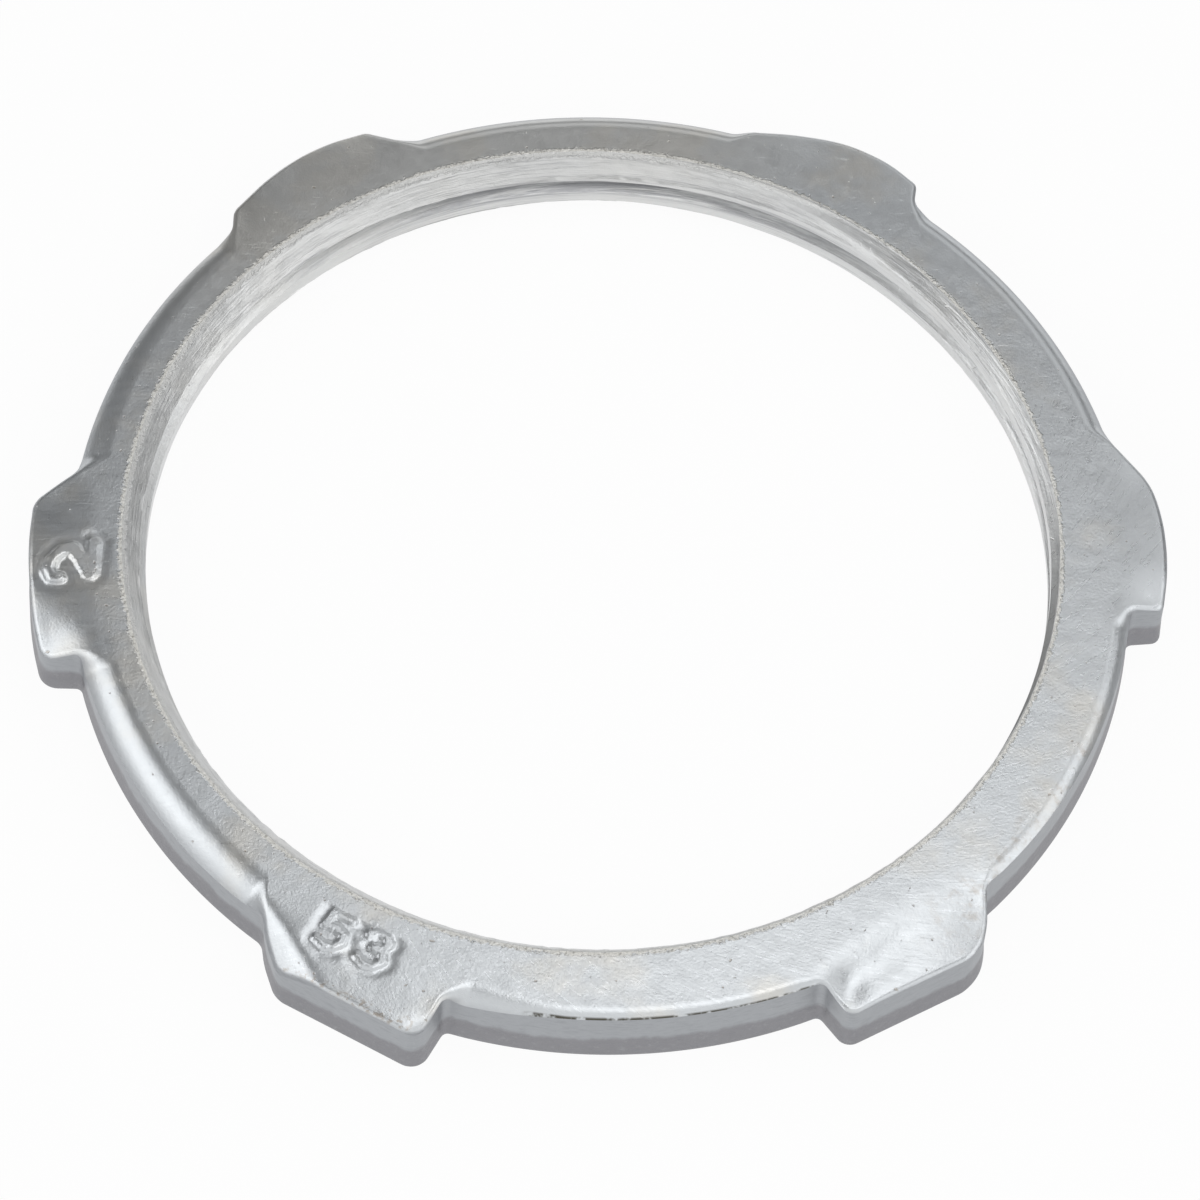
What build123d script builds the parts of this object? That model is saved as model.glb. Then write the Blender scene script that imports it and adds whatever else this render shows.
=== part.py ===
from build123d import *
from math import radians, tan
import os

os.makedirs("parts", exist_ok=True)

# Thread crests and ring, in millimetres
thread_minor_radius = 28.75
ring_width = 4.9
thickness = 4.75

# Thread mouths, opened at 45 degrees on both faces
mouth_depth = 0.95

# Driving lugs, each with a flat tip and two slanting sides
lug_count = 6
first_lug_angle = 6.5
lug_height = 2.8
lug_tip_width = 10.9
lug_side_angle = 20.0
root_corner_radius = 0.8

# Edges left by the punch: rim drawn down to the tips, top edge rolled over, bottom edge nearly sharp
rim_slope = 14.0
top_roll_radius = 0.7
bottom_edge_break = 0.3
corner_land = 0.4

# A tip's corners keep a small land inside the roll, and so does the ring's own edge
tip_corner_radius = top_roll_radius + corner_land

# A lug's sides run on inside the ring, so that lug and ring always join
ring_radius = thread_minor_radius + ring_width
lug_reach = ring_radius + lug_height
lug_foot = ring_radius - ring_width / 2
lug_foot_width = lug_tip_width + 2 * (lug_reach - lug_foot) * tan(radians(lug_side_angle))

# The slope starts inside the ring's edge and its cutter ends beyond the lugs
slope_start = ring_radius - top_roll_radius - corner_land
slope_end = lug_reach + lug_height
slope_drop = (slope_end - slope_start) * tan(radians(rim_slope))


def from_axis(corner):
    return Vector(corner.X, corner.Y, 0).length


# Locknut, one punched and tapped ring that rests on its flat bottom face
with BuildPart() as locknut:
    with BuildSketch(Plane.XY) as outline:
        Circle(ring_radius)
        with PolarLocations(0, lug_count, start_angle=first_lug_angle):
            Polygon(
                (lug_foot, -lug_foot_width / 2),
                (lug_reach, -lug_tip_width / 2),
                (lug_reach, lug_tip_width / 2),
                (lug_foot, lug_foot_width / 2),
                align=None,
            )
        fillet(outline.vertices().group_by(from_axis)[-1], tip_corner_radius)
        fillet(outline.vertices().group_by(from_axis)[0], root_corner_radius)
    extrude(amount=thickness)

    # Top of the rim drawn down towards the lugs' tips
    with BuildSketch(Plane.XZ):
        Polygon(
            (slope_start, thickness),
            (slope_end, thickness - slope_drop),
            (slope_end, thickness),
            align=None,
        )
    revolve(axis=Axis.Z, mode=Mode.SUBTRACT)

    slope_face = locknut.faces().filter_by(GeomType.CONE).sort_by(SortBy.AREA)[-1]
    fillet(slope_face.outer_wire().edges(), top_roll_radius)
    bottom_face = locknut.faces().sort_by(Axis.Z)[0]
    chamfer(bottom_face.outer_wire().edges(), bottom_edge_break)

    # Bore at the thread's crests, with both of its mouths opened
    with BuildSketch(Plane.XY):
        Circle(thread_minor_radius)
    extrude(amount=thickness, mode=Mode.SUBTRACT)
    bore_wall = locknut.faces().filter_by(GeomType.CYLINDER).sort_by(SortBy.AREA)[-1]
    chamfer(bore_wall.edges().filter_by(GeomType.CIRCLE), mouth_depth)

locknut.part.label = "locknut"
export_step(locknut.part, "parts/locknut.step")
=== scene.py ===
import math
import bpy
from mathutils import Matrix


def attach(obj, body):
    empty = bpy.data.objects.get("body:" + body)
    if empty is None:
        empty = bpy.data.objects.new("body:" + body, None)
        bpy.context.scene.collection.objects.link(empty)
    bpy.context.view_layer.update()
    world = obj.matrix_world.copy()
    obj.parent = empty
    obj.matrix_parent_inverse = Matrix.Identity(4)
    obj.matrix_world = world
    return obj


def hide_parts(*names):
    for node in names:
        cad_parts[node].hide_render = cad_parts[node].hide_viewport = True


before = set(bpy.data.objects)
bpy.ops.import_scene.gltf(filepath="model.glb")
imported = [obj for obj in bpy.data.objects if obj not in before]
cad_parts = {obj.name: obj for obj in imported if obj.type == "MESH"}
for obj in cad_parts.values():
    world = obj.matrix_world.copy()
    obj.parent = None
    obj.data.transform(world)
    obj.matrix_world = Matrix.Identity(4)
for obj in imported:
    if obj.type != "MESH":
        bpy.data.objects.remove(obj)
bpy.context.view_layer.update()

from types import SimpleNamespace

import bmesh
import bpy
import numpy as np
from mathutils import Matrix, Vector, noise

# everything below is shaped in millimetres and scaled once, when the mesh is finished
mm = 0.001


def smooth(edgeA, edgeB, x):
    t = np.clip((x - edgeA) / (edgeB - edgeA), 0.0, 1.0)
    return t * t * (3 - 2 * t)


def angleGap(a, b):
    # shortest way round from b to a, in degrees
    return (a - b + 180.0) % 360.0 - 180.0


def turned(x, y, degrees):
    a = math.radians(degrees)
    return (x * math.cos(a) - y * math.sin(a), x * math.sin(a) + y * math.cos(a), 0.0)


def roundTheRing(rows, angle, column):
    # eases from one row to the next, and from the last back to the first
    value = np.zeros_like(angle)
    for row, follow in zip(rows, rows[1:] + rows[:1]):
        span = (follow[0] - row[0]) % 360.0
        t = ((angle - row[0]) % 360.0) / span
        eased = row[column] + (follow[column] - row[column]) * smooth(0.0, 1.0, t)
        value = np.where(t < 1, eased, value)
    return value


# the nut seen from above: a ring with six lugs, no two of them quite alike. Each lug has its feet on the
# ring, and between them corners as (sideways, outwards, rounding), clockwise side first. A facet falls away
# outwards of the line between its two points, by its slope, and starts as softly as its last number says
nutPlan = {
    "ringRadius": 33.68,
    "rootRounding": 0.4,
    "stations": 1440,
    "lugs": (
        {"angle": 6.2, "feet": (5.7, 6.8),
         "corners": ((-5.6, 35.3, 0.4), (-2.5, 35.9, 1.5), (1.3, 35.9, 1.5), (3.8, 35.3, 0.9)),
         "tipSag": 0.35, "cornerSag": (0.35, 0.10), "cornerSize": (1.8, 2.0), "facets": ()},
        {"angle": 66.5, "feet": (6.3, 5.5),
         "corners": ((-5.8, 34.55, 0.3), (-3.4, 35.25, 1.0), (-0.6, 35.35, 1.0), (2.3, 34.75, 1.5)),
         "tipSag": 0.14, "cornerSag": (0.1, 0.1), "cornerSize": (1.6, 2.0), "facets": ()},
        {"angle": 126.6, "feet": (6.0, 7.0),
         "corners": ((-4.5, 34.95, 0.25), (-1.2, 35.62, 1.5), (2.2, 35.4, 1.5), (6.1, 34.25, 0.4)),
         "tipSag": 0.14, "cornerSag": (0.1, 0.1), "cornerSize": (1.6, 1.6), "facets": ()},
        {"angle": 187.1, "feet": (7.2, 6.1),
         "corners": ((-5.4, 35.75, 0.6), (-2.0, 36.2, 1.5), (2.6, 36.15, 1.5), (5.9, 35.6, 0.9)),
         "tipSag": 0.40, "cornerSag": (0.20, 0.50), "cornerSize": (2.2, 2.2),
         "facets": (((0.6, 36.6), (7.6, 31.8), 0.20, 0.6),)},
        {"angle": 246.0, "feet": (6.4, 6.2),
         "corners": ((-5.5, 34.35, 0.5), (-3.9, 35.95, 0.6), (6.1, 36.3, 1.1)),
         "tipSag": 0.30, "cornerSag": (0.1, 0.1), "cornerSize": (2.0, 1.4),
         "facets": (((-5.7, 32.9), (-0.4, 36.3), 0.64, 0.15), ((5.0, 36.5), (6.6, 33.4), 0.45, 0.15))},
        {"angle": 306.2, "feet": (5.5, 6.8),
         "corners": ((-5.3, 35.9, 0.7), (3.8, 36.6, 1.2), (5.3, 35.3, 0.7)),
         "tipSag": 0.35, "cornerSag": (0.15, 0.15), "cornerSize": (1.4, 2.4), "facets": ()},
    ),
    # a lug's tip sags from this distance from the axis on, over this reach and with this curve
    "tipStart": 32.0, "tipReach": 4.2, "tipCurve": 1.5,
    # each fall fades out between these two distances from the lug's middle line, and all near the bore
    "tipFade": (5.4, 7.6), "cornerFade": (6.4, 8.4), "facetFade": (6.2, 7.6), "boreFade": (31.0, 32.2),
    # shallow dents in the top: direction and distance from the axis, length along, width across, turn, depth
    "dents": (
        {"angle": 304.0, "radius": 33.9, "length": 3.6, "width": 1.3, "turn": 48.0, "depth": 0.16},
        {"angle": 298.8, "radius": 34.6, "length": 1.5, "width": 1.0, "turn": 60.0, "depth": 0.22},
    ),
}


def footAngles(lug, ring):
    # how far the lug's two feet stand from its middle, in degrees round the ring
    return [math.degrees(math.asin(foot / ring)) for foot in lug["feet"]]


def roundedBorder(plan):
    bm = bmesh.new()
    border, roots, tips = [], [], []
    lugs, ring = plan["lugs"], plan["ringRadius"]
    arcSteps, arcSpare = 60, 3  # of the arc between two lugs, and those left out at its ends for the rounding
    for lug, follow in zip(lugs, lugs[1:] + lugs[:1]):
        sides = (-lug["feet"][0], lug["feet"][1])
        feet = [bm.verts.new(turned(math.sqrt(ring ** 2 - side ** 2), side, lug["angle"])) for side in sides]
        corners = [bm.verts.new(turned(out, side, lug["angle"])) for side, out, rounding in lug["corners"]]
        roots += feet
        tips += [(corner, rounding) for corner, (side, out, rounding) in zip(corners, lug["corners"])]
        start = lug["angle"] + footAngles(lug, ring)[1]
        end = follow["angle"] - footAngles(follow, ring)[0]
        end += 360 if end < start else 0
        arc = [start + (end - start) * k / arcSteps for k in range(arcSpare, arcSteps - arcSpare + 1)]
        border += [feet[0], *corners, feet[1]] + [bm.verts.new(turned(ring, 0, angle)) for angle in arc]
    bm.faces.new(border)
    roundOff = dict(offset_type="OFFSET", profile=0.5, affect="VERTICES", material=-1)
    bmesh.ops.bevel(bm, geom=roots, offset=plan["rootRounding"], segments=4, **roundOff)
    for tip, rounding in tips:
        bmesh.ops.bevel(bm, geom=[tip], offset=rounding, segments=8, **roundOff)
    face = max(bm.faces, key=lambda f: f.calc_area())
    loop = np.array([v.co.xy[:] for v in face.verts])
    bm.free()
    return loop


def nutOutline(plan):
    # stations at even steps along the border, counted from 30 degrees before the first lug, and the
    # directions that point out of the border there
    loop = roundedBorder(plan)
    where = np.degrees(np.arctan2(loop[:, 1], loop[:, 0]))
    first = int(np.argmin(np.abs(angleGap(where, plan["lugs"][0]["angle"] - 30))))
    loop = np.roll(loop, -first, axis=0)
    closed = np.vstack([loop, loop[:1]])
    run = np.concatenate([[0.0], np.cumsum(np.hypot(*np.diff(closed, axis=0).T))])
    at = np.arange(plan["stations"]) / plan["stations"] * run[-1]
    points = np.stack([np.interp(at, run, closed[:, k]) for k in (0, 1)], 1)
    along = np.roll(points, -2, axis=0) - np.roll(points, 2, axis=0)
    along /= np.linalg.norm(along, axis=1)[:, None]
    return points, np.stack([along[:, 1], -along[:, 0]], 1)


def lugLoss(x, y, lug, plan):
    # how far one lug's top lies below its flat level: most at the tip, the corners and beyond the facets
    angle = math.radians(lug["angle"])
    c, s = math.cos(angle), math.sin(angle)
    out, side = x * c + y * s, y * c - x * s

    def near(fade):
        return (1 - smooth(*fade, np.abs(side))) * (out > 0)

    outwards = np.clip((out - plan["tipStart"]) / plan["tipReach"], 0.0, 1.0) ** plan["tipCurve"]
    total = near(plan["tipFade"]) * lug["tipSag"] * outwards
    ends = (lug["corners"][0], lug["corners"][-1])
    for (cornerSide, cornerOut, _), depth, size in zip(ends, lug["cornerSag"], lug["cornerSize"]):
        away = ((out - cornerOut) ** 2 + (side - cornerSide) ** 2) / size ** 2
        total += near(plan["cornerFade"]) * depth * np.exp(-away)
    for (sideA, outA), (sideB, outB), slope, soft in lug["facets"]:
        across, along = sideB - sideA, outB - outA
        beyond = (across * (out - outA) - along * (side - sideA)) / math.hypot(across, along)
        total += near(plan["facetFade"]) * slope * soft * np.log1p(np.exp(np.clip(beyond / soft, -30, 30)))
    return total


def dentLoss(x, y, dent):
    cx, cy, _ = turned(dent["radius"], 0, dent["angle"])
    turn = math.radians(dent["turn"])
    c, s = math.cos(turn), math.sin(turn)
    u, v = (x - cx) * c + (y - cy) * s, (y - cy) * c - (x - cx) * s
    return dent["depth"] * np.exp(-(u / dent["length"]) ** 2 - (v / dent["width"]) ** 2)


def topLoss(x, y, plan):
    total = np.zeros_like(x)
    for lug in plan["lugs"]:
        total += lugLoss(x, y, lug, plan)
    for dent in plan["dents"]:
        total += dentLoss(x, y, dent)
    return total * smooth(*plan["boreFade"], np.hypot(x, y))


# the edge that the punch rolled over: wide and soft on the left, nearly sharp at the near right
rolledEdge = {
    "top": 4.71,
    "curve": 2.0,
    # angle round the ring, how far the edge has dropped, width of the roll
    "round": (
        (0, 0.70, 1.2), (30, 0.85, 1.3), (90, 0.95, 1.4), (150, 0.65, 1.5), (190, 1.00, 2.0),
        (226, 1.15, 2.2), (246, 0.90, 1.9), (256, 0.70, 1.6), (270, 0.30, 0.8), (300, 0.28, 0.6),
        (325, 0.40, 0.9),
    ),
    "lugWidth": 0.30, "lugDrop": 0.15,
    "footBlend": (0.4, 2.6),  # degrees inside and outside a lug's foot over which the roll changes
    # a lip of pushed-up metal stands along part of the edge, but not on the lugs, which drop less than this
    "lip": {"from": 264.0, "to": 335.0, "fade": 6.0, "height": 0.05, "width": 0.16, "leastDrop": 0.2},
}


def edgeRoll(angle, plan, roll):
    drop, width = roundTheRing(roll["round"], angle, 1), roundTheRing(roll["round"], angle, 2)
    inside, outside = roll["footBlend"]
    onLug = np.zeros_like(angle)
    for lug in plan["lugs"]:
        footA, footB = footAngles(lug, plan["ringRadius"])
        gap = angleGap(angle, lug["angle"])
        pastA = smooth(-footA - outside, -footA + inside, gap)
        pastB = smooth(footB - inside, footB + outside, gap)
        onLug = np.maximum(onLug, pastA * (1 - pastB))
    drop = drop * (1 - onLug) + np.minimum(drop, roll["lugDrop"]) * onLug
    width = width * (1 - onLug) + np.minimum(width, roll["lugWidth"]) * onLug
    return drop, width


# the wall is smooth where the punch slid and rough where the steel broke; heights are shares of the wall's
wallBreak = {
    "share": 0.46, "wander": 0.05,  # height of the break, and how far it wanders up and down
    "flare": 0.16, "step": 0.03, "stepSoftness": 0.03,
    "bottomBreak": 0.07, "bottomShare": 0.06,
}


def wallInset(height, theta, broken):
    # how far the wall stands inside the border
    t = np.radians(theta)
    waves = np.sin(9 * t + 1) + 0.6 * np.sin(23 * t) + 0.4 * np.sin(41 * t + 2)
    share = broken["share"] + broken["wander"] * waves / 2
    soft = broken["stepSoftness"]
    inset = broken["step"] * (1 - smooth(-soft, soft, height - share))
    inset -= broken["flare"] * np.clip(1 - height / share, 0.0, 1.0)
    return inset + broken["bottomBreak"] * np.clip(1 - height / broken["bottomShare"], 0.0, 1.0) ** 2


# the section of the ring before the lugs are pressed into it, as inset from the border and height. The
# first part of the inset is later stretched over the rolled edge, and the rest over the flat up to the bore
rollInset, flatInset = 1.6, 1.3
topHeight = 5.0  # stands for the top, whose height is worked out later; the wall's heights are shares of it
ringSection = (
    [(inset, 0.0) for inset in (rollInset + flatInset, 2.25, rollInset, 0.8)]
    + [(0.0, h) for h in (0.02, 0.06, 0.14, 0.24, 0.33, 0.40, 0.45, 0.50, 0.58, 0.72, 0.86, 0.97)]
    + [(rollInset * q, topHeight) for q in (0.0, 0.03, 0.08, 0.15, 0.24, 0.36, 0.50, 0.66, 0.83, 1.0)]
    + [(rollInset + flatInset * q / 14, topHeight) for q in range(1, 15)]
)
rimJoin = 30.75  # radius at which the shell meets the threaded bore's faces
underWidth = 0.2  # how far the underside follows the border before it eases into the round rim


def spinRound(bm, stations, cuts, climb=0.0, closed=True):
    # spun in few steps and then cut finer, because spinning every station would take long
    steps = stations // (cuts + 1)
    bmesh.ops.spin(
        bm, geom=bm.verts[:] + bm.edges[:], cent=(0, 0, 0), axis=(0, 0, 1), dvec=(0, 0, climb / steps),
        angle=2 * math.pi, steps=steps, use_merge=closed)
    around = []
    for e in bm.edges:
        a, b = e.verts[0].co, e.verts[1].co
        if abs(a.x * b.y - a.y * b.x) > 1e-3:
            around.append(e)
    bmesh.ops.subdivide_edges(bm, edges=around, cuts=cuts)


def easedRound(angles):
    # angles that follow the given ones only loosely, so that the faces between stay even
    unwound = np.unwrap(np.radians(angles))
    even = unwound[0] + np.arange(len(angles)) / len(angles) * 2 * math.pi
    drift = 0.75 * (unwound - even)
    half = 30
    window = np.ones(2 * half + 1) / (2 * half + 1)
    return even + np.convolve(np.concatenate([drift[-half:], drift, drift[:half]]), window, mode="valid")


def makeShell(plan, roll, broken):
    points, normals = nutOutline(plan)
    angles = np.degrees(np.arctan2(points[:, 1], points[:, 0]))
    rimAngle = easedRound(angles)
    rimPoints = rimJoin * np.stack([np.cos(rimAngle), np.sin(rimAngle)], 1)

    bm = bmesh.new()
    section = [bm.verts.new((plan["ringRadius"] - inset, 0.0, height)) for inset, height in ringSection]
    for a, b in zip(section, section[1:]):
        bm.edges.new((a, b))
    spinRound(bm, plan["stations"], 3)

    # every point belongs to a station of the border
    co = np.array([v.co[:] for v in bm.verts])
    turn = np.arctan2(co[:, 1], co[:, 0]) / (2 * math.pi)
    station = np.round(turn * plan["stations"]).astype(int) % plan["stations"]
    border, normal, theta = points[station], normals[station], angles[station]
    inset, height = plan["ringRadius"] - np.hypot(co[:, 0], co[:, 1]), co[:, 2]
    onTop, onWall = height > topHeight / 2, (height > 0.01) & (height < topHeight / 2)

    # seen from above: from the border over the roll, then over the flat to the round rim
    drop, width = edgeRoll(theta, plan, roll)
    span = np.where(onTop, width, underWidth)
    inRoll = np.clip(inset / rollInset, 0.0, 1.0)
    inFlat = np.clip((inset - rollInset) / flatInset, 0.0, 1.0)[:, None]
    reach = span * inRoll
    edge = border - normal * reach[:, None]
    inner = border - normal * span[:, None]
    flat = np.where(inFlat > 0, inner * (1 - inFlat) + rimPoints[station] * inFlat, edge)

    # heights of the top, and of the wall that ends at its edge
    lip = roll["lip"]
    lipStarts = smooth(lip["from"], lip["from"] + lip["fade"], theta % 360)
    lipEnds = smooth(lip["to"] - lip["fade"], lip["to"], theta % 360)
    lipEdge = lip["height"] * (lipStarts * (1 - lipEnds))
    lipHeight = lipEdge * np.exp(-(reach / lip["width"]) ** 2)
    topZ = roll["top"] - drop * (1 - inRoll) ** roll["curve"]
    topZ += np.where(drop > lip["leastDrop"], lipHeight, 0.0)
    topZ -= topLoss(flat[:, 0], flat[:, 1], plan)
    wallTop = roll["top"] - drop + lipEdge - topLoss(border[:, 0], border[:, 1], plan)
    z = np.where(onTop, topZ, np.where(onWall, height * wallTop, 0.0))

    # the wall stands in and out of the border, and the underside's edge goes with it
    underEdge = broken["step"] + broken["bottomBreak"] - broken["flare"]
    drawnIn = np.where(onTop, 0.0, underEdge * (1 - inFlat[:, 0]))
    drawnIn = np.where(onWall, wallInset(height, theta, broken), drawnIn)
    flat = flat - normal * drawnIn[:, None]
    for v, x, y, h in zip(bm.verts, flat[:, 0], flat[:, 1], z):
        v.co = (x, y, h)
    return bm


# right-hand thread, 11.5 turns to the inch, its crests cut back by a countersink at each face;
# the tap stood a little off the ring's centre, and the top countersink a little further
threadCut = {
    "centre": (-0.16, 0.22),
    "pitch": 2.209,
    "crestRadius": 28.75, "rootRadius": 29.9,
    "crestLand": 0.95, "rootLand": 0.2,
    "crestHeightAtX": 0.88,  # height of a crest's middle on the +X side
    "stations": 480,
    # the mouths' centres are counted from the thread's
    "topMouth": {"radius": 29.71, "centre": (-0.49, 0.32)},
    "bottomMouth": {"radius": 29.40, "centre": (0.0, 0.0)},
    # how far the steel wanders: torn and grainy at the top mouth, torn at the bottom one, dragged by the tap
    "torn": 0.05, "grain": 0.035, "tornBelow": 0.04, "drag": 0.035,
}


def threadProfile(cut):
    # one pitch as radius and height: crest, flank outwards, root, flank back
    flank = (cut["pitch"] - cut["crestLand"] - cut["rootLand"]) / 2
    crest, root, land = cut["crestRadius"], cut["rootRadius"], cut["crestLand"] / 2
    rootEnd = land + flank + cut["rootLand"]
    points = [(crest, z) for z in np.linspace(-land, land, 7)]
    points += [(crest + (root - crest) * q, land + flank * q) for q in np.linspace(0, 1, 9)[1:]]
    points += [(root, rootEnd)]
    points += [(root + (crest - root) * q, rootEnd + flank * q) for q in np.linspace(0, 1, 7)[1:-1]]
    return points


def mouthRadius(x, y, rise, mouth):
    # distance from the thread's axis at which a 45 degree countersink stands, in the direction of x, y
    r = np.hypot(x, y)
    cx, cy = mouth["centre"]
    along = (x * cx + y * cy) / r
    return along + np.sqrt((mouth["radius"] - rise) ** 2 - (cx ** 2 + cy ** 2 - along ** 2))


def levelOut(bm, plane, within):
    # points that lie almost at this height are put exactly at it
    for v in bm.verts:
        if abs(v.co.z - plane) < within:
            v.co.z = plane


def makeThread(cut, roll):
    bm = bmesh.new()
    previous = None
    for turn in range(-2, 4):  # reaches past both faces, which cut it off
        for r, z in threadProfile(cut):
            v = bm.verts.new((r, 0.0, z + turn * cut["pitch"] + cut["crestHeightAtX"]))
            if previous:
                bm.edges.new((previous, v))
            previous = v
    spinRound(bm, cut["stations"], 1, climb=cut["pitch"], closed=False)
    bmesh.ops.remove_doubles(bm, verts=bm.verts[:], dist=0.002)
    for plane, outward in ((0.0, -1), (roll["top"], 1)):
        levelOut(bm, plane, 0.03)  # so that the cut leaves no slivers
        bmesh.ops.bisect_plane(
            bm, geom=bm.verts[:] + bm.edges[:] + bm.faces[:], dist=1e-5,
            plane_co=(0, 0, plane), plane_no=(0, 0, outward), clear_outer=True)
        levelOut(bm, plane, 1e-4)  # or dark specks show in the underside, which lies in the floor's plane
    for v in bm.verts:
        x, y, z = v.co
        r = math.hypot(x, y)
        torn = noise.noise(Vector((x * 1.7, y * 1.7, z * 1.5 + 7)))
        grain = noise.noise(Vector((x * 5, y * 5, z * 5)))
        drag = noise.noise(Vector((x * 0.35, y * 0.35, z * 9)))  # long lines left by the tap
        upper = mouthRadius(x, y, roll["top"] - z, cut["topMouth"])
        upper += cut["torn"] * torn + cut["grain"] * grain
        lower = mouthRadius(x, y, z, cut["bottomMouth"]) + cut["tornBelow"] * torn
        out = max(r + cut["drag"] * drag, upper, lower) / r
        v.co.x, v.co.y = x * out + cut["centre"][0], y * out + cut["centre"][1]
    return bm


def liesLevel(e, height, radius):
    # whether an edge lies at this height and within this distance from the axis
    return all(abs(v.co.z - height) < 1e-3 and v.co.xy.length < radius for v in e.verts)


def joinFaces(shell, thread, roll):
    spare = bpy.data.meshes.new("spare")
    thread.to_mesh(spare)
    shell.from_mesh(spare)
    bpy.data.meshes.remove(spare)
    thread.free()
    for height in (0.0, roll["top"]):
        openEdges = [e for e in shell.edges if e.is_boundary and liesLevel(e, height, rimJoin + 0.75)]
        bmesh.ops.triangle_fill(shell, edges=openEdges, use_beauty=True, use_dissolve=False, normal=(0, 0, 1))
    bmesh.ops.recalc_face_normals(shell, faces=shell.faces[:])
    return shell


# raised size numerals: the trade size on one lug and the plain millimetre size on the next
sizeMarks = {
    "height": 0.22,
    "softness": 0.34, "softInside": 0.55,  # width of a stroke's flank, and its share inside the stroke
    "sunkDepth": 0.05, "sunkAt": 0.3, "sunkWidth": 0.35,  # the metal round a stroke is drawn in a little
    "highest": 4.74,
    "rimFade": (30.8, 31.2),
    "finer": (0.2, 0.1),  # longest edges left near a mark after each pass
    "margin": 0.9,  # how far beyond its strokes a mark reaches
    "strokes": {
        "2": (((0.0, 2.3), (0.05, 2.8), (0.7, 3.15), (1.6, 3.0), (2.5, 2.3), (2.7, 1.5), (1.65, 0.7),
               (0.5, 0.05)),
              ((0.5, 0.0), (3.2, -0.05))),
        "5": (((0.85, 1.0), (0.2, 1.0), (0.15, 0.56), (0.5, 0.62), (0.82, 0.5), (0.88, 0.28), (0.7, 0.07),
               (0.4, 0.0), (0.1, 0.1)),),
        "3": (((0.12, 0.88), (0.35, 1.0), (0.65, 0.98), (0.82, 0.8), (0.7, 0.58), (0.42, 0.54)),
              ((0.42, 0.54), (0.75, 0.5), (0.9, 0.27), (0.7, 0.05), (0.4, 0.0), (0.1, 0.12))),
    },
    "placed": (
        {"numeral": "2", "origin": (-32.05, -4.85), "turn": 90.0, "size": (0.82, 0.84), "strokeWidth": 0.78},
        {"numeral": "5", "origin": (-16.15, -29.45), "turn": -23.5, "size": (2.0, 2.3), "strokeWidth": 0.40},
        {"numeral": "3", "origin": (-13.6, -30.55), "turn": -23.5, "size": (2.0, 2.3), "strokeWidth": 0.40},
    ),
}


def placedStroke(stroke, mark):
    wide, tall = mark["size"]
    return [Vector(turned(u * wide, v * tall, mark["turn"])).xy + Vector(mark["origin"]) for u, v in stroke]


def strokeDistance(x, y, strokes):
    nearest = np.full_like(x, 99.0)
    for stroke in strokes:
        for (ax, ay), (bx, by) in zip(stroke, stroke[1:]):
            dx, dy = bx - ax, by - ay
            t = np.clip(((x - ax) * dx + (y - ay) * dy) / (dx * dx + dy * dy), 0.0, 1.0)
            nearest = np.minimum(nearest, np.hypot(x - ax - t * dx, y - ay - t * dy))
    return nearest


def isNear(co, middle, span):
    # whether a point of the top, not of the underside, lies near a mark
    return co.z > 2.5 and (co.xy - middle).length < span


def raiseMarks(bm, marks):
    for mark in marks["placed"]:
        strokes = [placedStroke(stroke, mark) for stroke in marks["strokes"][mark["numeral"]]]
        points = [p for stroke in strokes for p in stroke]
        middle = sum(points, Vector((0, 0))) / len(points)
        span = max((p - middle).length for p in points) + marks["margin"]
        faces = [f for f in bm.faces if f.normal.z > 0.3 and isNear(f.calc_center_median(), middle, span)]
        for longest in marks["finer"]:
            edges = list({e for f in faces for e in f.edges if e.calc_length() > longest})
            split = bmesh.ops.subdivide_edges(bm, edges=edges, cuts=1, use_grid_fill=True)
            faces = list({f for f in split["geom"] if isinstance(f, bmesh.types.BMFace)})
        near = [v for v in bm.verts if isNear(v.co, middle, span)]
        co = np.array([v.co[:] for v in near])
        away = strokeDistance(co[:, 0], co[:, 1], strokes)
        half, soft, inside = mark["strokeWidth"] / 2, marks["softness"], marks["softInside"]
        rise = marks["height"] * (1 - smooth(half - soft * inside, half + soft * (1 - inside), away))
        rise -= marks["sunkDepth"] * np.exp(-((away - half - marks["sunkAt"]) / marks["sunkWidth"]) ** 2)
        rise *= smooth(*marks["rimFade"], np.hypot(co[:, 0], co[:, 1]))
        for v, up in zip(near, rise):
            v.co.z = min(v.co.z + up, marks["highest"])


def placeMesh(bm, name, material):
    mesh = bpy.data.meshes.new(name)
    bm.to_mesh(mesh)
    bm.free()
    mesh.materials.append(material)
    piece = bpy.data.objects.new(name, mesh)
    bpy.context.scene.collection.objects.link(piece)
    return piece


def finishMesh(bm, name, material, roll):
    # smooth all over, but for edges that bend by more than 34 degrees and the bore's two rims
    bm.normal_update()
    for f in bm.faces:
        f.smooth = True
    for e in bm.edges:
        bend = e.calc_face_angle(0.0)
        onRim = any(liesLevel(e, height, rimJoin - 0.05) for height in (0.0, roll["top"]))
        e.smooth = bend <= (0.2 if onRim else math.radians(34))
    bmesh.ops.scale(bm, vec=(mm, mm, mm), verts=bm.verts[:])
    return placeMesh(bm, name, material)


# small helpers for node materials

def newMaterial(name):
    mat = bpy.data.materials.new(name)
    mat.use_nodes = True
    return mat, mat.node_tree, mat.node_tree.nodes["Principled BSDF"]


def addNode(tree, kind, inputs=None, **settings):
    made = tree.nodes.new(kind)
    for name, value in settings.items():
        setattr(made, name, value)
    for key, value in (inputs or {}).items():
        if isinstance(value, bpy.types.NodeSocket):
            tree.links.new(value, made.inputs[key])
        else:
            made.inputs[key].default_value = value
    return made


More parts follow.
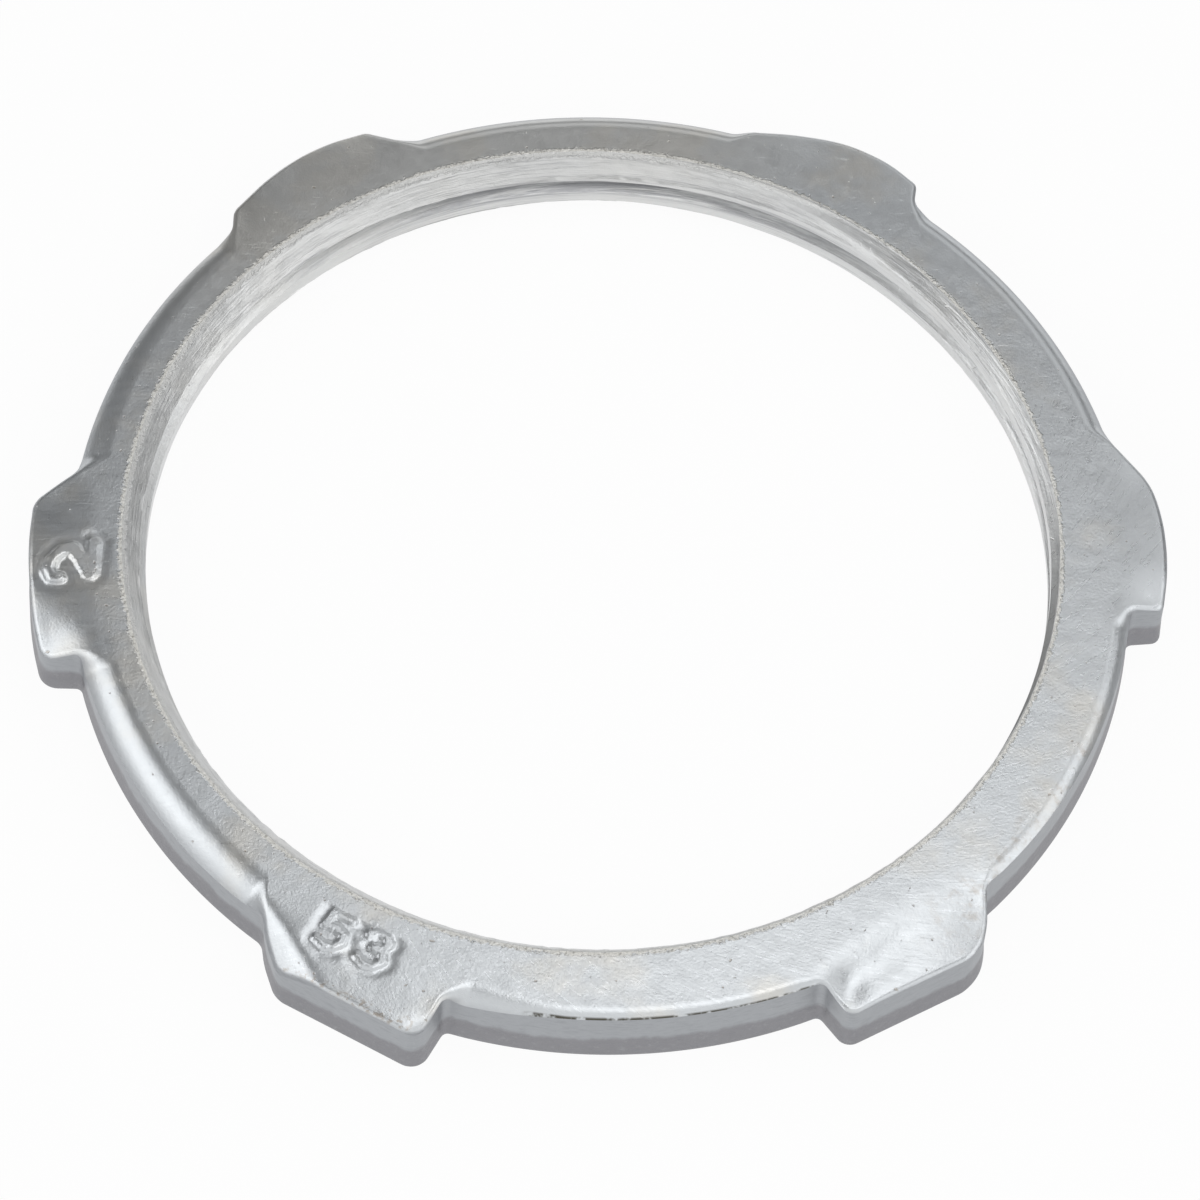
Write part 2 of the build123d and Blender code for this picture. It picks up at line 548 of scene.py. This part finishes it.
def calc(tree, operation, a, b=0.0, clamp=False):
    return addNode(tree, "ShaderNodeMath", {0: a, 1: b}, operation=operation, use_clamp=clamp).outputs[0]


def times(tree, value, *others):
    for other in others:
        value = calc(tree, "MULTIPLY", value, other)
    return value


def plus(tree, value, *others):
    for other in others:
        value = calc(tree, "ADD", value, other)
    return value


def minus(tree, a, b):
    return calc(tree, "SUBTRACT", a, b)


def flipped(tree, value):
    return minus(tree, 1.0, value)


def centred(tree, value):
    return minus(tree, value, 0.5)


def ramp(tree, value, start, end):
    made = addNode(tree, "ShaderNodeMapRange", {0: value, 1: start, 2: end}, interpolation_type="SMOOTHSTEP")
    return made.outputs[0]


def band(tree, value, rising, falling):
    return times(tree, ramp(tree, value, *rising), flipped(tree, ramp(tree, value, *falling)))


def blendColour(tree, factor, a, b):
    return addNode(tree, "ShaderNodeMix", {0: factor, 6: a, 7: b}, data_type="RGBA").outputs[2]


def noiseAt(tree, vector, scale, detail=2.0, rough=0.5):
    inputs = {"Vector": vector, "Scale": scale, "Detail": detail, "Roughness": rough}
    return addNode(tree, "ShaderNodeTexNoise", inputs).outputs["Fac"]


def stretched(tree, vector, scale, turn=0.0):
    # turned about Z by this angle in degrees
    inputs = {"Vector": vector, "Rotation": (0, 0, math.radians(turn)), "Scale": scale}
    return addNode(tree, "ShaderNodeMapping", inputs).outputs[0]


zincLook = {
    "cool": (0.615, 0.64, 0.66, 1), "warm": (0.655, 0.65, 0.625, 1),
    # the wall's two colours are partly painted shade, for the shadowed floor that the wall reflects; their
    # split is the real smooth and broken steel
    "wallUpperShaded": (0.41, 0.425, 0.445, 1), "wallLowerShaded": (0.30, 0.298, 0.315, 1),
    "wallStreak": (0.27, 0.28, 0.30, 1), "wallPale": (0.50, 0.51, 0.52, 1),
    "thread": (0.71, 0.715, 0.71, 1), "threadLines": (0.36, 0.365, 0.38, 1),
    "burr": (0.82, 0.81, 0.77, 1), "crumb": (0.30, 0.29, 0.26, 1),
    # the darkest colour is painted shadow, for the band under the near lip
    "stain": (0.30, 0.23, 0.16, 1), "paintedShadow": (0.10, 0.095, 0.08, 1),
    "roughness": 0.31, "wallRoughness": 0.5, "burrRoughness": 0.6,
    # a direction round the ring, the degrees to both sides of it in which a look is full, and where it ends
    "warmSide": (112, 20, 50),
    "brushedSides": ((285, 25, 55), (345, 30, 60)),
    "scratchedSide": (205, 35, 60),
    "stainedSide": (326, 8, 20),
    "dirtyTip": (247, 6, 9),
    # where the painted shadow under the lip lies
    "shadowedSide": (281, 14.5, 16.5),
    "tornSide": (90, 14, 40),
    # the spiral brush: how far it winds in, and how fine it is
    "brushLead": 0.8, "brushScale": 33,
    # heights of the bump, in millimetres
    "bump": {
        "brush": 0.0038, "grain": 0.010, "waves": 0.025, "scratch": 0.003, "pits": 0.02, "burr": 0.09,
        "tapLines": 0.035, "wallStreak": 0.02, "wallCrumble": 0.02, "brokenCrumble": 0.06,
    },
}


def surveyNut(tree):
    # where a point lies on the nut, in millimetres, and masks for the sides of the nut
    coords = addNode(tree, "ShaderNodeTexCoord")
    at = SimpleNamespace()
    at.place = stretched(tree, coords.outputs["Object"], (1 / mm, 1 / mm, 1 / mm))
    at.x, at.y, at.z = addNode(tree, "ShaderNodeSeparateXYZ", {0: at.place}).outputs
    at.level = addNode(tree, "ShaderNodeCombineXYZ", {0: at.x, 1: at.y}).outputs[0]
    at.radius = addNode(tree, "ShaderNodeVectorMath", {0: at.level}, operation="LENGTH").outputs["Value"]
    facing = addNode(tree, "ShaderNodeSeparateXYZ", {0: coords.outputs["Normal"]}).outputs[2]
    slant = calc(tree, "ABSOLUTE", facing)
    at.upFace = ramp(tree, facing, 0.55, 0.85)
    at.flatTop = times(tree, ramp(tree, facing, 0.93, 0.98), ramp(tree, at.z, 2.0, 2.5))
    at.wall = times(tree, ramp(tree, at.radius, 31.0, 31.6), flipped(tree, ramp(tree, slant, 0.55, 0.85)))
    inside, steep = ramp(tree, at.radius, 30.6, 30.7), ramp(tree, slant, 0.90, 0.97)
    at.bore = times(tree, flipped(tree, inside), flipped(tree, steep))
    return at


def around(tree, at, degrees, full, none):
    # 1 within `full` degrees of the direction, 0 beyond `none`
    a = math.radians(degrees)
    dot = plus(tree, times(tree, at.x, math.cos(a)), times(tree, at.y, math.sin(a)))
    cosine = calc(tree, "DIVIDE", dot, at.radius)
    return ramp(tree, cosine, math.cos(math.radians(none)), math.cos(math.radians(full)))


def cloudyZinc(tree, at, look):
    # cool grey with warm clouds
    clouds = ramp(tree, noiseAt(tree, at.place, 0.16, 4.0, 0.55), 0.48, 0.70)
    warmSide = times(tree, around(tree, at, *look["warmSide"]), 0.6)
    return blendColour(tree, calc(tree, "ADD", clouds, warmSide, clamp=True), look["cool"], look["warm"])


def brushMarks(tree, at, look):
    # a spiral brush on the near and right side, straight scratches on the left
    lead = look["brushLead"]
    scale = look["brushScale"] / math.hypot(1, lead)
    # the angle is counted from the near side, so that its jump lies at the far side
    angle = calc(tree, "ARCTAN2", at.x, times(tree, at.y, -1.0))
    logRadius = calc(tree, "LOGARITHM", at.radius, math.e)
    across = times(tree, minus(tree, logRadius, times(tree, angle, lead)), scale)
    along = times(tree, plus(tree, angle, times(tree, logRadius, lead)), scale)
    spiral = addNode(tree, "ShaderNodeCombineXYZ", {0: along, 1: across}).outputs[0]
    brush = noiseAt(tree, stretched(tree, spiral, (0.30, 8.5, 1)), 1.0, 4.0, 0.65)
    straight = noiseAt(tree, stretched(tree, at.place, (0.25, 7.0, 0.2), 25), 1.0, 4.0, 0.65)
    sides = [around(tree, at, *side) for side in look["brushedSides"]]
    brushShare = plus(tree, times(tree, calc(tree, "MAXIMUM", *sides), 0.9), 0.1)
    straightShare = times(tree, around(tree, at, *look["scratchedSide"]), 0.6)
    straightMarks = times(tree, centred(tree, straight), straightShare)
    marks = plus(tree, times(tree, centred(tree, brush), brushShare), straightMarks)
    return times(tree, marks, at.upFace)


def deepScratches(tree, at):
    strokes = noiseAt(tree, stretched(tree, at.place, (0.5, 9.0, 0.3), 38), 1.0, 1.0, 0.4)
    return times(tree, ramp(tree, strokes, 0.73, 0.78), at.flatTop)


def smallPits(tree, at):
    return times(tree, ramp(tree, noiseAt(tree, at.place, 2.6, 1.0, 0.4), 0.75, 0.81), at.upFace)


def brownStains(tree, at, look):
    # at the near right, towards the outer edge
    field = noiseAt(tree, stretched(tree, at.place, (1, 1, 1), math.degrees(0.6)), 0.9, 4.0, 0.7)
    zone = times(tree, ramp(tree, at.radius, 31.4, 33.2), at.upFace)
    zone = times(tree, around(tree, at, *look["stainedSide"]), zone)
    return times(tree, ramp(tree, field, 0.46, 0.72), zone)


def tipDirt(tree, at, look):
    # along the tip of the near left lug
    zone = times(tree, around(tree, at, *look["dirtyTip"]), ramp(tree, at.radius, 35.3, 35.9), at.upFace)
    return times(tree, zone, ramp(tree, noiseAt(tree, at.place, 2.3, 3.0, 0.65), 0.50, 0.64))


def paintedLipShadow(tree, at, look):
    # painted shadow: a dark band, in patches, under the lip along the near edge
    across = band(tree, at.radius, (33.38, 33.52), (33.66, 33.72))
    upwards = band(tree, at.z, (3.88, 4.05), (4.50, 4.56))
    patches = ramp(tree, noiseAt(tree, at.place, 1.1, 3.0, 0.6), 0.36, 0.52)
    return times(tree, across, upwards, around(tree, at, *look["shadowedSide"]), patches)


def wallSurface(tree, at, look):
    # smooth and light above, rough and darker where the steel broke; gives its colour and its heights. Both
    # colours are also darker as painted shade, for the shadowed floor that the wall reflects
    wander = centred(tree, noiseAt(tree, stretched(tree, at.place, (0.6, 0.6, 0.3)), 1.0, 4.0, 0.6))
    broken = flipped(tree, ramp(tree, plus(tree, at.z, times(tree, wander, 1.4)), 1.7, 2.3))
    streak = noiseAt(tree, stretched(tree, at.place, (1.2, 1.2, 7.0)), 1.0, 3.0, 0.6)
    crumble = noiseAt(tree, at.place, 2.4, 4.0, 0.65)
    colour = blendColour(tree, broken, look["wallUpperShaded"], look["wallLowerShaded"])
    colour = blendColour(tree, times(tree, ramp(tree, streak, 0.45, 0.75), 0.4), colour, look["wallStreak"])
    colour = blendColour(tree, times(tree, ramp(tree, crumble, 0.55, 0.75), 0.3), colour, look["wallPale"])
    bump = look["bump"]
    crumbleHeight = plus(tree, times(tree, broken, bump["brokenCrumble"]), bump["wallCrumble"])
    streakHeights = times(tree, at.wall, streak, bump["wallStreak"])
    return colour, plus(tree, streakHeights, times(tree, at.wall, crumble, crumbleHeight))


def mouthBurr(tree, at, cut):
    # the top countersink's ragged edge
    mouth = cut["topMouth"]
    centre = [a + b for a, b in zip(cut["centre"], mouth["centre"])]
    gap = addNode(tree, "ShaderNodeVectorMath", {0: at.level, 1: (*centre, 0)}, operation="DISTANCE")
    ragged = times(tree, centred(tree, noiseAt(tree, at.place, 3.2, 3.0, 0.7)), 0.8)
    off = calc(tree, "ABSOLUTE", plus(tree, minus(tree, gap.outputs["Value"], mouth["radius"]), ragged))
    return times(tree, flipped(tree, ramp(tree, off, 0.15, 0.32)), ramp(tree, at.z, 4.35, 4.5))


def zincPlate(look, cut):
    mat, tree, steel = newMaterial("zincPlate")
    at = surveyNut(tree)
    brushed = brushMarks(tree, at, look)
    pits = smallPits(tree, at)
    # the wall's colour carries painted shade
    wallShadedColour, wallHeights = wallSurface(tree, at, look)
    burr = mouthBurr(tree, at, cut)
    crumbs = times(tree, burr, ramp(tree, noiseAt(tree, at.place, 4.2, 2.0, 0.6), 0.55, 0.68))

    # long fine lines left by the tap, which tore the far side into a band of darker streaks
    tapLines = noiseAt(tree, stretched(tree, at.place, (0.16, 0.16, 8.0)), 1.0, 4.0, 0.7)
    threadLines = times(tree, at.bore, ramp(tree, tapLines, 0.50, 0.72))
    torn = times(tree, around(tree, at, *look["tornSide"]), band(tree, at.z, (1.3, 2.0), (2.9, 3.5)), at.bore)
    torn = times(tree, torn, ramp(tree, tapLines, 0.36, 0.56))

    # where each layer lies, how much of it shows there, and its colour
    layers = (
        (pits, 0.45, look["stain"]),
        (brownStains(tree, at, look), 0.45, look["stain"]),
        (tipDirt(tree, at, look), 0.6, look["stain"]),
        # painted shadow under the lip
        (paintedLipShadow(tree, at, look), 1.0, look["paintedShadow"]),
        # the walls' colours, darker partly as painted shade
        (at.wall, 1.0, wallShadedColour),
        (burr, 0.8, look["burr"]),
        (crumbs, 0.6, look["crumb"]),
        (at.bore, 0.8, look["thread"]),
        (threadLines, 0.55, look["threadLines"]),
        (torn, 0.85, look["threadLines"]),
    )
    colour = cloudyZinc(tree, at, look)
    for mask, share, layerColour in layers:
        colour = blendColour(tree, times(tree, mask, share), colour, layerColour)

    mottle = centred(tree, noiseAt(tree, at.place, 1.3, 3.0, 0.6))
    rough = plus(
        tree, times(tree, mottle, 0.12), look["roughness"], times(tree, brushed, 0.25),
        times(tree, at.wall, look["wallRoughness"] - look["roughness"]))
    rough = calc(tree, "MAXIMUM", rough, times(tree, burr, look["burrRoughness"]), clamp=True)

    bump = look["bump"]
    heights = plus(
        tree, times(tree, brushed, bump["brush"]),
        times(tree, centred(tree, noiseAt(tree, at.place, 5.5, 2.0, 0.6)), bump["grain"]),
        times(tree, centred(tree, noiseAt(tree, at.place, 0.55)), bump["waves"]),
        times(tree, deepScratches(tree, at), -bump["scratch"]),
        times(tree, pits, -bump["pits"]),
        times(tree, burr, noiseAt(tree, at.place, 4.5, 2.0, 0.7), bump["burr"]),
        times(tree, at.bore, tapLines, bump["tapLines"]),
        wallHeights)
    relief = addNode(tree, "ShaderNodeBump", {"Strength": 1.0, "Distance": mm, "Height": heights})

    steel.inputs["Metallic"].default_value = 1.0
    tree.links.new(colour, steel.inputs["Base Color"])
    tree.links.new(rough, steel.inputs["Roughness"])
    tree.links.new(relief.outputs[0], steel.inputs["Normal"])
    return mat


zinc = zincPlate(zincLook, threadCut)
shell = makeShell(nutPlan, rolledEdge, wallBreak)
print("shell pressed:", len(shell.verts), "points")
thread = makeThread(threadCut, rolledEdge)
print("thread cut:", len(thread.verts), "points")
whole = joinFaces(shell, thread, rolledEdge)
raiseMarks(whole, sizeMarks)
print("numerals raised:", len(whole.verts), "points")
nut = finishMesh(whole, "nut", zinc, rolledEdge)
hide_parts("locknut")
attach(nut, "root")
print("nut joined:", len(nut.data.polygons), "faces")


# the photo was taken from in front and above, with a long lens; distances from here on are in metres
photoCamera = {
    "distance": 0.42629, "elevation": 58.788,
    "yaw": -0.014, "pitch": -0.139, "roll": 3.666,
    "focalPixels": 6674, "photoPixels": 1200, "sensor": 36,
}


def makeCamera(settings):
    e = math.radians(settings["elevation"])
    place = Vector((0, -math.cos(e), math.sin(e))) * settings["distance"]
    back = place.normalized()
    right = Vector((1, 0, 0))
    up = back.cross(right)
    turn = Matrix((right, up, back)).transposed()
    for angle, axis in (("yaw", "Y"), ("pitch", "X"), ("roll", "Z")):
        turn = turn @ Matrix.Rotation(math.radians(settings[angle]), 3, axis)
    data = bpy.data.cameras.new("photoCamera")
    data.sensor_width = settings["sensor"]
    data.lens = settings["focalPixels"] / settings["photoPixels"] * settings["sensor"]
    data.clip_start = 0.01
    camera = bpy.data.objects.new("photoCamera", data)
    camera.matrix_world = Matrix.Translation(place) @ turn.to_4x4()
    bpy.context.scene.collection.objects.link(camera)
    bpy.context.scene.camera = camera


makeCamera(photoCamera)

paleFloor = {
    "colour": (0.88, 0.88, 0.88, 1), "roughness": 0.9, "specular": 0.1,
    "size": 2.0, "backdropShare": 0.94,
}


def makeFloor(settings):
    mat, tree, paper = newMaterial("paleFloor")
    paper.inputs["Base Color"].default_value = settings["colour"]
    paper.inputs["Roughness"].default_value = settings["roughness"]
    paper.inputs["Specular IOR Level"].default_value = settings["specular"]
    # seen directly or in the metal, the floor is mostly plain white paper, and still keeps the shadow
    white = addNode(tree, "ShaderNodeEmission", {"Color": (1, 1, 1, 1), "Strength": 1.0})
    rays = addNode(tree, "ShaderNodeLightPath").outputs
    seen = calc(tree, "MAXIMUM", rays["Is Camera Ray"], rays["Is Glossy Ray"])
    seen = calc(tree, "MAXIMUM", seen, rays["Is Transmission Ray"])
    share = times(tree, seen, settings["backdropShare"])
    mixed = addNode(tree, "ShaderNodeMixShader", {0: share, 1: paper.outputs[0], 2: white.outputs[0]})
    tree.links.new(mixed.outputs[0], tree.nodes["Material Output"].inputs["Surface"])
    bm = bmesh.new()
    bmesh.ops.create_grid(bm, x_segments=1, y_segments=1, size=settings["size"])
    placeMesh(bm, "floor", mat)


makeFloor(paleFloor)

lightTent = {
    "overhead": {"at": (0.035, 0.055, 0.34), "aim": (0.035, 0.055, 0), "size": (0.15, 0.25), "power": 0.195},
    "overheadRight": {"at": (0.21, 0.16, 0.34), "aim": (0.21, 0.16, 0), "size": (0.13, 0.26), "power": 0.085},
    "overheadFront": {"at": (0.05, -0.24, 0.34), "aim": (0.05, -0.1, 0), "size": (0.5, 0.34), "power": 0.40},
    "left": {"at": (-0.42, 0.05, 0.32), "aim": (0, 0, 0), "size": (0.34, 0.38), "power": 0.56},
    "right": {"at": (0.42, 0.05, 0.34), "aim": (0, 0, 0), "size": (0.34, 0.30), "power": 0.38},
    "front": {"at": (0.0, -0.48, 0.22), "aim": (0, 0, 0), "size": (0.60, 0.20), "power": 0.26},
    "frontLeft": {"at": (-0.38, -0.24, 0.25), "aim": (0, 0, 0), "size": (0.32, 0.32), "power": 0.36},
    "frontRight": {"at": (0.40, -0.22, 0.25), "aim": (0, 0, 0), "size": (0.32, 0.32), "power": 0.28},
    "back": {"at": (0.12, 0.50, 0.30), "aim": (0, 0, 0), "size": (0.60, 0.30), "power": 0.32},
}


def makeLights(tent):
    for name, lamp in tent.items():
        data = bpy.data.lights.new(name, "AREA")
        data.shape = "RECTANGLE"
        data.size, data.size_y = lamp["size"]
        data.energy = lamp["power"]
        light = bpy.data.objects.new(name, data)
        light.location = lamp["at"]
        back = Vector(lamp["at"]) - Vector(lamp["aim"])
        light.rotation_euler = back.to_track_quat("Z", "Y").to_matrix().to_euler()
        bpy.context.scene.collection.objects.link(light)


makeLights(lightTent)

paleRoom = {"colour": (1, 1, 1, 1), "strength": 0.20}


def makeWorld(settings):
    world = bpy.data.worlds.new("paleRoom")
    bpy.context.scene.world = world
    world.use_nodes = True
    backdrop = world.node_tree.nodes["Background"]
    backdrop.inputs["Color"].default_value = settings["colour"]
    backdrop.inputs["Strength"].default_value = settings["strength"]


makeWorld(paleRoom)

bpy.context.scene.view_settings.view_transform = "Standard"
print("camera, floor and lights placed")
